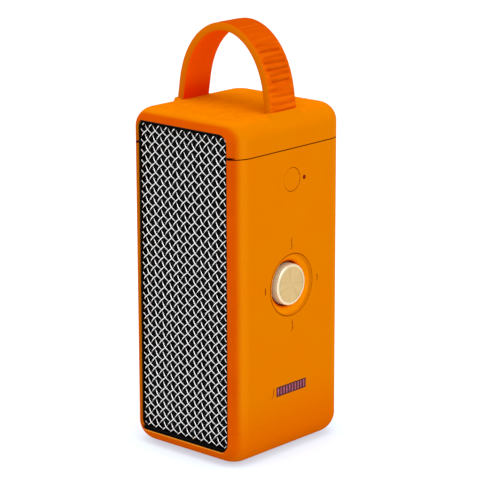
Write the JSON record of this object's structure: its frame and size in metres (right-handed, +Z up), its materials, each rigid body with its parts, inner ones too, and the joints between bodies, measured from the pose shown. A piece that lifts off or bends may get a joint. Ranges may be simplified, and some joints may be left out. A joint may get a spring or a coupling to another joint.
{
  "type": "portable speaker",
  "caption": "Upright portable wireless loudspeaker with an orange casing, woven wire grilles, a tilting control knob in a dish, a pairing button, a battery gauge and an arched carrying strap.",
  "frame": {"origin": "centre of the flat base that the loudspeaker stands on", "axes": "+Z up, -Y out of the front grille, +X out of the side with the knob"},
  "size_m": [0.0686, 0.0768, 0.2011],
  "materials": {
    "casing": "soft-touch orange, satin",
    "strap": "soft moulded orange elastomer, satin",
    "rubber": "matt",
    "steel": "satin",
    "grille_wire": "bright woven wire",
    "black_trim": "matt black",
    "grille_cloth": "thin open acoustic cloth",
    "basket": "black paint",
    "magnet": "ferrite, matt",
    "cone": "matt",
    "surround": "satin",
    "radiator_plate": "satin",
    "knob_metal": "pale brass, spun face and bright bevel",
    "switch_metal": "satin",
    "switch_case": "matt",
    "lamp": "tinted light pipe",
    "gauge_dark": "smoked maroon",
    "gauge_light": "tinted light guides",
    "clear_guide": "clear",
    "mark": "dark ink inlay",
    "circuit_board": "green laminate",
    "chips": "matt",
    "inner_plastic": "matt",
    "cells": "shrink sleeve"
  },
  "bodies": {
    "enclosure": {"main_housing": "casing", "top_cap": "casing", "base_cap": "casing", "knob_dish": "casing", "carry_strap": "strap", "cap_gaskets": "rubber", "base_pad": "rubber", "side_feet": "rubber", "top_cap_screws": "steel", "base_cap_screws": "steel", "strap_pins": "steel", "front_baffle_screws": "steel", "rear_baffle_screws": "steel", "board_screws": "steel", "main_board_screws": "steel", "charging_socket": "steel", "front_driver_yoke": "steel", "rear_driver_yoke": "steel", "front_grille": "grille_wire", "rear_grille": "grille_wire", "front_grille_frame": "black_trim", "rear_grille_frame": "black_trim", "front_grille_cloth": "grille_cloth", "rear_grille_cloth": "grille_cloth", "front_driver_basket": "basket", "rear_driver_basket": "basket", "front_radiator_frame": "basket", "rear_radiator_frame": "basket", "front_driver_magnet": "magnet", "rear_driver_magnet": "magnet", "front_driver_spider": "cone", "rear_driver_spider": "cone", "front_driver_surround": "surround", "rear_driver_surround": "surround", "front_radiator_surround": "surround", "rear_radiator_surround": "surround", "knob_switch": "switch_case", "pairing_switch": "switch_case", "status_light_pipe": "lamp", "gauge_window": "gauge_dark", "gauge_bars": "gauge_light", "gauge_light_guide": "clear_guide", "panel_marks": "mark", "control_board": "circuit_board", "main_board": "circuit_board", "charging_board": "circuit_board", "control_board_parts": "chips", "main_board_parts": "chips", "chassis_tray": "inner_plastic", "battery_cradle": "inner_plastic", "battery_cells": "cells"},
    "knob_plunger": {"switch_plunger": "switch_metal"},
    "knob_gimbal": {"gimbal_ring": "switch_metal"},
    "knob": {"control_knob": "knob_metal", "knob_stem": "knob_metal"},
    "pairing_button": {"pairing_button": "casing"},
    "front_cone": {"front_driver_cone": "cone"},
    "rear_cone": {"rear_driver_cone": "cone"},
    "front_radiator": {"front_radiator_plate": "radiator_plate"},
    "rear_radiator": {"rear_radiator_plate": "radiator_plate"}
  },
  "joints": [
    {"name": "knob_press", "type": "slide", "parent": "enclosure", "child": "knob_plunger", "axis": [-1, 0, 0], "range_m": [0, 0.0005], "stiffness_N_per_m": 3000},
    {"name": "knob_tilt_up_down", "type": "hinge", "parent": "knob_plunger", "child": "knob_gimbal", "pos_m": [0.0243, 0, 0.0814], "axis": [0, 1, 0], "range_deg": [-4, 4], "stiffness_Nm_per_rad": 0.3},
    {"name": "knob_tilt_sideways", "type": "hinge", "parent": "knob_gimbal", "child": "knob", "pos_m": [0.0243, 0, 0.0814], "axis": [0, 0, 1], "range_deg": [-4, 4], "stiffness_Nm_per_rad": 0.3},
    {"name": "pairing_button_press", "type": "slide", "parent": "enclosure", "child": "pairing_button", "axis": [-1, 0, 0], "range_m": [0, 0.0006], "stiffness_N_per_m": 2500},
    {"name": "front_cone_travel", "type": "slide", "parent": "enclosure", "child": "front_cone", "axis": [0, -1, 0], "range_m": [-0.002, 0.002], "stiffness_N_per_m": 1200, "deforming": ["front_driver_surround", "front_driver_spider"]},
    {"name": "rear_cone_travel", "type": "slide", "parent": "enclosure", "child": "rear_cone", "axis": [0, 1, 0], "range_m": [-0.002, 0.002], "stiffness_N_per_m": 1200, "deforming": ["rear_driver_surround", "rear_driver_spider"]},
    {"name": "front_radiator_travel", "type": "slide", "parent": "enclosure", "child": "front_radiator", "axis": [0, -1, 0], "range_m": [-0.002, 0.002], "stiffness_N_per_m": 900, "deforming": ["front_radiator_surround"]},
    {"name": "rear_radiator_travel", "type": "slide", "parent": "enclosure", "child": "rear_radiator", "axis": [0, 1, 0], "range_m": [-0.002, 0.002], "stiffness_N_per_m": 900, "deforming": ["rear_radiator_surround"]}
  ]
}
